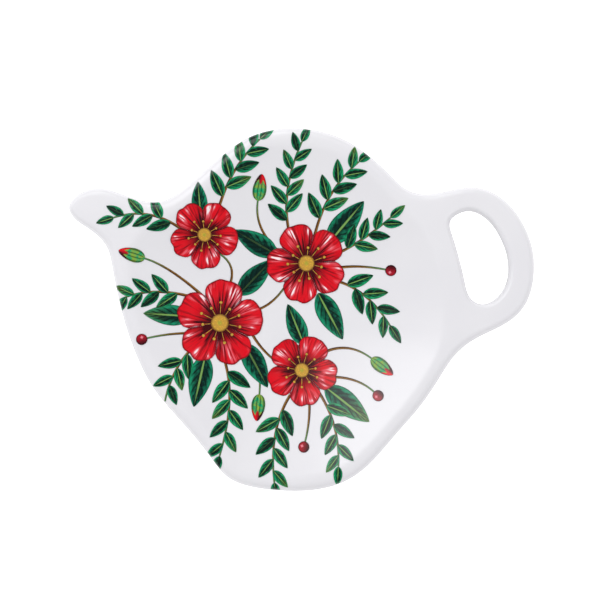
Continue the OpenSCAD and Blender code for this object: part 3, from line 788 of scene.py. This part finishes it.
class Recipe:
    """Builds the nodes of one material, lamp or world."""

    def __init__(self, owner):
        self.owner = owner
        owner.use_nodes = True
        self.tree = owner.node_tree

    def feed(self, socket, value):
        """Links a node's output to a socket, or sets the socket's own value."""
        if isinstance(value, bpy.types.NodeSocket):
            self.tree.links.new(value, socket)
        else:
            socket.default_value = value

    def math(self, operation, a, b=0.0):
        """The result of one sum."""
        node = self.tree.nodes.new("ShaderNodeMath")
        node.operation = operation
        self.feed(node.inputs[0], a)
        self.feed(node.inputs[1], b)
        return node.outputs[0]

    def add(self, a, b):
        return self.math("ADD", a, b)

    def minus(self, a, b):
        return self.math("SUBTRACT", a, b)

    def times(self, a, b):
        return self.math("MULTIPLY", a, b)

    def ramp(self, value, start, end, low=0.0, high=1.0):
        """Goes smoothly from low to high as value goes from start to end."""
        node = self.tree.nodes.new("ShaderNodeMapRange")
        node.interpolation_type = "SMOOTHSTEP"
        for socket, setting in zip(node.inputs, (value, start, end, low, high)):
            self.feed(socket, setting)
        return node.outputs[0]

    def mix(self, share, a, b):
        """A colour at a share of the way from a to b."""
        node = self.tree.nodes.new("ShaderNodeMix")
        node.data_type = "RGBA"
        sockets = [s for s in node.inputs if s.type == "RGBA"]
        self.feed(node.inputs[0], share)
        for socket, value in zip(sockets, (a, b)):
            self.feed(socket, value if isinstance(value, bpy.types.NodeSocket) else (*value, 1))
        return next(s for s in node.outputs if s.type == "RGBA")

    def vector(self, x, y, z):
        """A vector made of its three parts."""
        node = self.tree.nodes.new("ShaderNodeCombineXYZ")
        for socket, value in zip(node.inputs, (x, y, z)):
            self.feed(socket, value)
        return node.outputs[0]

    def noise(self, vector, scale, detail=2.0):
        """Cloudy noise, mostly within NOISE_SPAN."""
        node = self.tree.nodes.new("ShaderNodeTexNoise")
        self.feed(node.inputs["Vector"], vector)
        self.feed(node.inputs["Scale"], scale)
        self.feed(node.inputs["Detail"], detail)
        return node.outputs["Fac"]

    def place(self, kind):
        """Object gives the place on the object in metres, Generated in a world the direction."""
        return self.tree.nodes.new("ShaderNodeTexCoord").outputs[kind]

    def split(self, vector):
        """The three parts of a vector."""
        node = self.tree.nodes.new("ShaderNodeSeparateXYZ")
        self.feed(node.inputs[0], vector)
        return node.outputs

    def film_place(self):
        """Place along and across a film of ink, the distance from its midline, and the film's own shade."""
        node = self.tree.nodes.new("ShaderNodeAttribute")
        node.attribute_name = "film_place"
        along, across, shade = self.split(node.outputs["Vector"])
        return along, across, self.math("ABSOLUTE", across), shade

    def seen(self, directly, in_gloss, as_light):
        """A value for what the camera sees, one for gloss and glass, and one for what lights the object."""
        path = self.tree.nodes.new("ShaderNodeLightPath")
        mirrored = self.math("MAXIMUM", path.outputs["Is Glossy Ray"], path.outputs["Is Transmission Ray"])
        unseen = self.ramp(mirrored, 0, 1, as_light, in_gloss)
        return self.ramp(path.outputs["Is Camera Ray"], 0, 1, unseen, directly)

    def line(self, value, width):
        """1 where value is near zero, falling to 0 at the width."""
        return self.ramp(self.math("ABSOLUTE", value), width / 2, width, 1.0, 0.0)

    def edged(self, reach, start, end, share, colour, dark):
        """The colour with a darker margin, which grows up to a share as reach goes from start to end."""
        return self.mix(self.ramp(reach, start, end, 0, share), colour, dark)

    def glaze(self, colour):
        """Gives the shader a colour under a hard glossy face, with the slight unevenness of moulding."""
        place = self.place("Object")
        shader = self.tree.nodes["Principled BSDF"]
        self.feed(shader.inputs["Base Color"], colour)
        uneven = self.noise(place, GLOSS_SCALE, 3)
        self.feed(shader.inputs["Roughness"], self.ramp(uneven, *NOISE_SPAN, *GLAZE_ROUGHNESS))
        shader.inputs["IOR"].default_value = GLAZE_IOR
        shader.inputs["Coat Weight"].default_value = GLAZE_COAT
        shader.inputs["Coat Roughness"].default_value = GLAZE_COAT_ROUGHNESS
        bump = self.tree.nodes.new("ShaderNodeBump")
        bump.inputs["Strength"].default_value = DIMPLE_STRENGTH
        bump.inputs["Distance"].default_value = DIMPLE_DEPTH
        self.feed(bump.inputs["Height"], self.noise(place, DIMPLE_SCALE, 2))
        self.feed(shader.inputs["Normal"], bump.outputs[0])
        return self.owner


def shaded(colour, share):
    """A darker colour of the same hue."""
    return tuple(share * c for c in colour)


def melamine_finish(sizes):
    """White melamine: a faint cloudiness in the moulding under its gloss."""
    recipe = Recipe(bpy.data.materials.new("melamine"))
    place = recipe.place("Object")
    clouded = [share * part for share, part in zip(CLOUD_SHARES, sizes.melamine)]
    clouds = recipe.ramp(recipe.noise(place, CLOUD_SCALE, 3), 0.35, 0.65)
    body = recipe.mix(clouds, sizes.melamine, clouded)
    speck = recipe.ramp(recipe.noise(place, SPECK_SCALE, 1), 0.66, 0.78, 0, 0.05)
    return recipe.glaze(recipe.mix(speck, body, shaded(sizes.melamine, 0.8)))


def leaf_ink(choices, name, dark, light, vein_count):
    """Leaves: dark between darker veins, brighter towards the margins, with a thin pale midrib."""
    recipe = Recipe(bpy.data.materials.new(name))
    along, across, side, shade = recipe.film_place()
    wash = recipe.noise(recipe.place("Object"), LEAF_WASH_SCALE, 4)
    lit = recipe.add(recipe.ramp(across, -0.3, 0.4, -0.1, 0.2), recipe.times(shade, 0.25))
    lit = recipe.add(lit, recipe.ramp(wash, 0.35, 0.7, -0.25, 0.25))
    lit = recipe.add(lit, recipe.ramp(side, 0.5, 0.85, 0, 0.75))
    green = recipe.mix(lit, dark, light)
    heart = recipe.times(recipe.ramp(side, 0.05, 0.5, 0.6, 0), recipe.ramp(along, 0.6, 1, 1, 0.3))
    green = recipe.mix(heart, green, shaded(dark, 0.45))
    yellowed = recipe.times(recipe.ramp(shade, 0.7, 0.98), recipe.ramp(along, 0.4, 1, 0, 0.4))
    green = recipe.mix(yellowed, green, choices.bud_green)
    waves = recipe.minus(recipe.times(along, vein_count), recipe.times(side, 2.1))
    veins = recipe.line(recipe.minus(recipe.math("FRACT", waves), 0.5), 0.24)
    veins = recipe.times(veins, recipe.ramp(side, 0.6, 0.95, 0.75, 0.1))
    green = recipe.mix(veins, green, shaded(dark, 0.4))
    rib = recipe.times(recipe.line(across, 0.11), recipe.ramp(along, 0.5, 0.95, 0.8, 0.05))
    rib = recipe.times(rib, recipe.ramp(shade, 0.15, 0.35, 0.15, 1))
    green = recipe.mix(rib, green, choices.leaf_vein)
    return recipe.glaze(recipe.edged(side, 0.88, 0.99, 0.7, green, shaded(dark, 0.5)))


def petal_ink(choices):
    """Petals: deep at the root, streaked along their length and pale where they curl to the light."""
    recipe = Recipe(bpy.data.materials.new("petal_ink"))
    along, across, side, shade = recipe.film_place()
    shift = recipe.times(shade, 37.0)
    fan = recipe.add(recipe.times(across, 9.0), shift)
    streak = recipe.noise(recipe.vector(fan, recipe.times(along, 1.3), shift), 1, 3)
    broad = recipe.noise(recipe.vector(recipe.times(across, 1.7), along, shift), 1.2, 1)
    deep = recipe.times(recipe.ramp(streak, 0.47, 0.68), recipe.ramp(along, 0.3, 1, 0.9, 0.6))
    fold = recipe.times(recipe.ramp(across, 0.3, 0.95, 0, 0.6), recipe.ramp(along, 0.2, 1, 1, 0.4))
    deep = recipe.add(recipe.ramp(along, 0.02, 0.66, 1, 0), recipe.add(deep, fold))
    deep = recipe.math("MINIMUM", deep, 1.0)
    red = recipe.mix(deep, choices.petal_red, choices.petal_deep)
    curl = recipe.times(recipe.ramp(along, 0.3, 0.8), recipe.ramp(along, 0.84, 0.98, 1, 0.15))
    light = recipe.times(curl, recipe.ramp(broad, 0.47, 0.62))
    light = recipe.times(light, recipe.ramp(streak, 0.6, 0.4, 0, 1))
    red = recipe.mix(light, red, choices.petal_pale)
    red = recipe.mix(recipe.ramp(light, 0.45, 0.85), red, choices.petal_gleam)
    margin = recipe.math("MAXIMUM", recipe.ramp(side, 0.86, 0.98), recipe.ramp(along, 0.94, 0.995))
    return recipe.glaze(recipe.mix(recipe.times(margin, 0.75), red, choices.petal_deep))


def stem_ink(choices):
    """Stems: lit along one side, with fine lines and darker margins."""
    recipe = Recipe(bpy.data.materials.new("stem_ink"))
    along, across, side, shade = recipe.film_place()
    grain = recipe.vector(recipe.times(across, 2.5), recipe.times(along, 14), shade)
    lines = recipe.noise(grain, 1, 3)
    lit = recipe.times(recipe.ramp(across, -0.2, 0.6), recipe.ramp(lines, 0.4, 0.6, 0.3, 0.9))
    brown = recipe.mix(lit, choices.bark, choices.bark_pale)
    brown = recipe.mix(recipe.ramp(along, 0.5, 1, 0, 0.5), brown, choices.leaf_light)
    return recipe.glaze(recipe.edged(side, 0.45, 0.95, 0.8, brown, shaded(choices.bark, 0.25)))


def bud_ink(choices):
    """Buds: a striped green cup that opens on a red tip."""
    recipe = Recipe(bpy.data.materials.new("bud_ink"))
    along, across, side, _ = recipe.film_place()
    wash = recipe.noise(recipe.place("Object"), BUD_WASH_SCALE, 3)
    cup = recipe.mix(recipe.ramp(wash, 0.35, 0.65), choices.bud_green, choices.leaf_light)
    ribs = recipe.minus(recipe.math("FRACT", recipe.times(side, 1.9)), 0.5)
    cup = recipe.mix(recipe.times(recipe.line(ribs, 0.24), 0.65), cup, choices.leaf_dark)
    points = recipe.times(recipe.math("COSINE", recipe.times(across, 7)), 0.06)
    opened = recipe.ramp(recipe.add(along, points), 0.6, 0.66)
    tip = recipe.mix(recipe.ramp(across, -0.6, 0.5), choices.petal_deep, choices.petal_red)
    bud = recipe.mix(opened, cup, tip)
    return recipe.glaze(recipe.edged(side, 0.75, 0.98, 0.7, bud, shaded(choices.leaf_dark, 0.5)))


def round_place(recipe, along, across):
    """Place on a round film, from -1 to 1 each way, and the distance from its middle."""
    turn = recipe.times(along, math.pi)
    u = recipe.times(recipe.math("COSINE", turn), -1.0)
    v = recipe.times(recipe.math("SINE", turn), across)
    squares = recipe.add(recipe.times(u, u), recipe.times(v, v))
    return u, v, recipe.math("SQRT", squares)


def berry_ink(choices):
    """Berries: round, with a painted gleam and a dark margin."""
    recipe = Recipe(bpy.data.materials.new("berry_ink"))
    along, across = recipe.film_place()[:2]
    u, v, reach = round_place(recipe, along, across)
    red = recipe.mix(recipe.ramp(v, -0.9, 0.6), choices.petal_deep, choices.berry_red)
    u_away = recipe.math("ABSOLUTE", recipe.add(u, 0.1))
    v_away = recipe.math("ABSOLUTE", recipe.minus(v, 0.35))
    gleam = recipe.ramp(recipe.add(u_away, v_away), 0.12, 0.42, 0.85, 0)
    red = recipe.mix(gleam, red, choices.petal_pale)
    return recipe.glaze(recipe.edged(reach, 0.72, 0.98, 0.8, red, shaded(choices.petal_deep, 0.5)))


def pollen_ink(choices):
    """Centres and anthers: grains of pollen, darker round the margin."""
    recipe = Recipe(bpy.data.materials.new("pollen_ink"))
    along, across = recipe.film_place()[:2]
    reach = round_place(recipe, along, across)[2]
    grains = recipe.tree.nodes.new("ShaderNodeTexVoronoi")
    recipe.feed(grains.inputs["Vector"], recipe.place("Object"))
    grains.inputs["Scale"].default_value = POLLEN_SCALE
    dots = recipe.ramp(grains.outputs["Distance"], 0.15, 0.45, 0, 0.75)
    yellow = recipe.mix(dots, choices.pollen, choices.bark_pale)
    yellow = recipe.mix(recipe.ramp(reach, 0.1, 0.4, 0.5, 0), yellow, choices.bud_green)
    return recipe.glaze(recipe.edged(reach, 0.75, 0.98, 0.7, yellow, choices.petal_deep))


class PrintPiece:
    """What the operators of the print have in common."""

    bl_options = {"REGISTER", "UNDO"}

    def settings(self, context):
        """The choices for the print, and the shape of the tray that it follows."""
        return context.scene.tea_rest_print, TrayShape(context.scene.tea_rest_tray)

    def add(self, shape, name, node, layer, grids, material):
        """Makes the films of one ink and puts them in the scene."""
        mesh = films_mesh(shape, name, grids, layer)
        finish_mesh(mesh, FILM_SHARP_ANGLE)
        add_piece(name, mesh, material, node)
        return {"FINISHED"}


class MakeTray(bpy.types.Operator):
    """Makes the moulded tray: dish, lip, spout, handle and foot ring"""

    bl_idname = "tea_rest.make_tray"
    bl_label = "Make Tray"

    def execute(self, context):
        sizes = context.scene.tea_rest_tray
        mesh = tray_mesh(TrayShape(sizes))
        finish_mesh(mesh, TRAY_SHARP_ANGLE)
        add_piece("moulded_tray", mesh, melamine_finish(sizes), "tray_body")
        return {"FINISHED"}


class MakeStems(PrintPiece, bpy.types.Operator):
    """Prints the stems of the sprigs, buds and berries"""

    bl_idname = "tea_rest.make_stems"
    bl_label = "Make Stems"

    def execute(self, context):
        choices, shape = self.settings(context)
        lines = BRANCHES + SPRIGS + BUD_TWIGS + BERRY_TWIGS
        grids = [stem_grid(shape, line, choices.stem_width) for line in lines]
        return self.add(shape, "printed_stems", "stem_print", STEM_LAYER, grids, stem_ink(choices))


class MakeBroadLeaves(PrintPiece, bpy.types.Operator):
    """Prints the broad leaves beside the blossoms"""

    bl_idname = "tea_rest.make_broad_leaves"
    bl_label = "Make Broad Leaves"

    def execute(self, context):
        choices, shape = self.settings(context)
        grids = []
        for base, direction, size in BROAD_LEAVES:
            way = turned((1, 0), direction) * choices.broad_leaf_length * size
            width = choices.broad_leaf_width * size
            grids.append(blade_grid(shape, shape.place(base), way, width, LEAF_SWELL, BROAD_LEAF_GRID))
        dark, light = choices.broad_dark, choices.broad_light
        ink = leaf_ink(choices, "broad_leaf_ink", dark, light, BROAD_LEAF_VEIN_COUNT)
        return self.add(shape, "printed_broad_leaves", "broad_leaf_print", BROAD_LEAF_LAYER, grids, ink)


class MakeLeaves(PrintPiece, bpy.types.Operator):
    """Prints the leaves of all the sprigs"""

    bl_idname = "tea_rest.make_leaves"
    bl_label = "Make Leaves"

    def execute(self, context):
        choices, shape = self.settings(context)
        grids = [grid for sprig in SPRIGS for grid in sprig_leaves(shape, sprig, choices)]
        ink = leaf_ink(choices, "leaf_ink", choices.leaf_dark, choices.leaf_light, LEAF_VEIN_COUNT)
        return self.add(shape, "printed_leaves", "leaf_print", LEAF_LAYER, grids, ink)


class MakeBuds(PrintPiece, bpy.types.Operator):
    """Prints the buds at the ends of their twigs"""

    bl_idname = "tea_rest.make_buds"
    bl_label = "Make Buds"

    def execute(self, context):
        choices, shape = self.settings(context)
        length = choices.bud_length
        grids = twig_ends(shape, BUD_TWIGS, length, length * BUD_WIDTH_SHARE, BUD_SWELL, BUD_GRID)
        return self.add(shape, "printed_buds", "bud_print", BUD_LAYER, grids, bud_ink(choices))


class MakeBerries(PrintPiece, bpy.types.Operator):
    """Prints the berries at the ends of their twigs"""

    bl_idname = "tea_rest.make_berries"
    bl_label = "Make Berries"

    def execute(self, context):
        choices, shape = self.settings(context)
        width = choices.berry_width
        grids = twig_ends(shape, BERRY_TWIGS, width, width, BERRY_SWELL, BERRY_GRID)
        return self.add(shape, "printed_berries", "berry_print", BUD_LAYER, grids, berry_ink(choices))


class MakeBlossoms(PrintPiece, bpy.types.Operator):
    """Prints the petals of the open blossoms"""

    bl_idname = "tea_rest.make_blossoms"
    bl_label = "Make Blossoms"

    def execute(self, context):
        choices, shape = self.settings(context)
        petals = [(blossom, k) for blossom in BLOSSOMS for k in range(PETAL_COUNT)]
        grids = [petal_grid(shape, blossom, k, choices) for blossom, k in petals]
        return self.add(shape, "printed_blossoms", "blossom_print", BLOSSOM_LAYER, grids, petal_ink(choices))


class MakeCentres(PrintPiece, bpy.types.Operator):
    """Prints the centres and anthers of the blossoms"""

    bl_idname = "tea_rest.make_centres"
    bl_label = "Make Centres"

    def execute(self, context):
        choices, shape = self.settings(context)
        grids = []
        for place, size, turn in BLOSSOMS:
            width = choices.centre_width * size
            way = np.array([width, 0])
            base = shape.place(place) - way / 2
            grids.append(blade_grid(shape, base, way, width, BERRY_SWELL, CENTRE_GRID))
            grids.extend(anther_grids(shape, (place, size, turn), choices))
        return self.add(shape, "printed_centres", "centre_print", CENTRE_LAYER, grids, pollen_ink(choices))


def floor_finish(choices):
    """Matt white paper with a faint mottle, that keeps the object's shadow."""
    recipe = Recipe(bpy.data.materials.new("white_floor"))
    shader = recipe.tree.nodes["Principled BSDF"]
    shader.inputs["Roughness"].default_value = FLOOR_ROUGHNESS
    shader.inputs["Specular IOR Level"].default_value = 0
    mottle = recipe.noise(recipe.place("Object"), MOTTLE_SCALE)
    recipe.feed(shader.inputs["Base Color"], recipe.ramp(mottle, *NOISE_SPAN, *FLOOR_GREYS))
    shader.inputs["Emission Color"].default_value = (1, 1, 1, 1)
    own_light = recipe.seen(choices.floor_white, choices.floor_gleam, 0)
    recipe.feed(shader.inputs["Emission Strength"], own_light)
    return recipe.owner


def lay_floor(choices):
    """A level floor under the foot ring."""
    half = FLOOR_SIZE / 2
    corners = [(-half, -half, 0), (half, -half, 0), (half, half, 0), (-half, half, 0)]
    mesh = bpy.data.meshes.new("floor")
    mesh.from_pydata(corners, [], [range(len(corners))])
    mesh.materials.append(floor_finish(choices))
    floor = bring_in("floor", mesh)


def light_room(choices):
    """A light from all round, a little stronger from the back. Gloss shows the white room dark overhead."""
    world = bpy.data.worlds.new("studio")
    bpy.context.scene.world = world
    recipe = Recipe(world)
    background = recipe.tree.nodes["Background"]
    background.inputs["Color"].default_value = (1, 1, 1, 1)
    _, backward, upward = recipe.split(recipe.place("Generated"))
    room = recipe.ramp(upward, *CEILING_SPAN, 1.0, choices.ceiling)
    low, high = (choices.fill * (1 + sign * choices.fill_slope) for sign in (-1, 1))
    light = recipe.ramp(backward, -1, 1, low, high)
    recipe.feed(background.inputs["Strength"], recipe.seen(1, room, light))


def hang_softbox(name, bearing, tilt, width, power):
    """A round softbox, aimed at the dish and fading towards its rim."""
    lamp = bpy.data.lights.new(name, "AREA")
    lamp.shape = "DISK"
    lamp.size = width
    lamp.energy = power
    recipe = Recipe(lamp)
    across, along, _ = recipe.split(recipe.tree.nodes.new("ShaderNodeNewGeometry").outputs["Parametric"])
    squares = [recipe.math("POWER", recipe.minus(side, 0.5), 2.0) for side in (across, along)]
    away = recipe.math("SQRT", recipe.add(*squares))
    strength = recipe.ramp(away, *SOFTBOX_FADE, 1.0, 0.0)
    recipe.feed(recipe.tree.nodes["Emission"].inputs["Strength"], strength)
    softbox = bring_in(name, lamp)
    turn, lean = math.radians(bearing), math.radians(tilt)
    toward = Vector((math.cos(turn) * math.sin(lean), math.sin(turn) * math.sin(lean), math.cos(lean)))
    softbox.location = toward * SOFTBOX_DISTANCE
    softbox.rotation_euler = toward.to_track_quat("Z", "Y").to_euler()


def set_camera(choices, outline_height):
    """A camera straight above, framed as in the photograph at the height where the tray is widest."""
    data = bpy.data.cameras.new("camera")
    data.lens = choices.focal
    data.sensor_width = SENSOR_WIDTH
    camera = bring_in("camera", data)
    distance = choices.view_width * choices.focal / SENSOR_WIDTH
    camera.location = (*VIEW_CENTRE, outline_height + distance)
    bpy.context.scene.camera = camera


class SetStage(bpy.types.Operator):
    """Lays the floor, lights the room and sets the camera straight above"""

    bl_idname = "tea_rest.set_stage"
    bl_label = "Set Stage"

    def execute(self, context):
        choices = context.scene.tea_rest_stage
        tray = context.scene.tea_rest_tray
        lay_floor(choices)
        light_room(choices)
        hang_softbox("main_softbox", MAIN_BEARING, MAIN_TILT, choices.main_width, choices.main_power)
        hang_softbox("edge_softbox", EDGE_BEARING, EDGE_TILT, choices.edge_width, choices.edge_power)
        set_camera(choices, tray.height - tray.edge_height)
        context.scene.view_settings.view_transform = "Standard"
        return {"FINISHED"}


MAKERS = [
    MakeTray, MakeStems, MakeBroadLeaves, MakeLeaves, MakeBuds, MakeBerries, MakeBlossoms, MakeCentres,
    SetStage,
]


class TeaRestPanel(bpy.types.Panel):
    """Sizes, inks and buttons of the tea bag rest"""

    bl_idname = "VIEW3D_PT_tea_rest"
    bl_label = "Tea Bag Rest"
    bl_space_type = "VIEW_3D"
    bl_region_type = "UI"
    bl_category = "Tea Bag Rest"

    def draw(self, context):
        for maker in MAKERS:
            self.layout.operator(maker.bl_idname)
        scene = context.scene
        for group in (scene.tea_rest_tray, scene.tea_rest_print, scene.tea_rest_stage):
            box = self.layout.box()
            for name in group.__annotations__:
                box.prop(group, name)


CLASSES = [TraySizes, PrintChoices, StageChoices, *MAKERS, TeaRestPanel]


def register():
    for cls in CLASSES:
        bpy.utils.register_class(cls)
    bpy.types.Scene.tea_rest_tray = PointerProperty(type=TraySizes)
    bpy.types.Scene.tea_rest_print = PointerProperty(type=PrintChoices)
    bpy.types.Scene.tea_rest_stage = PointerProperty(type=StageChoices)


def unregister():
    del bpy.types.Scene.tea_rest_stage
    del bpy.types.Scene.tea_rest_print
    del bpy.types.Scene.tea_rest_tray
    for cls in reversed(CLASSES):
        bpy.utils.unregister_class(cls)


def main():
    """Makes the tea bag rest and its stage."""
    register()
    for maker in MAKERS:
        group, name = maker.bl_idname.split(".")
        getattr(getattr(bpy.ops, group), name)()


if __name__ == "__main__":
    main()
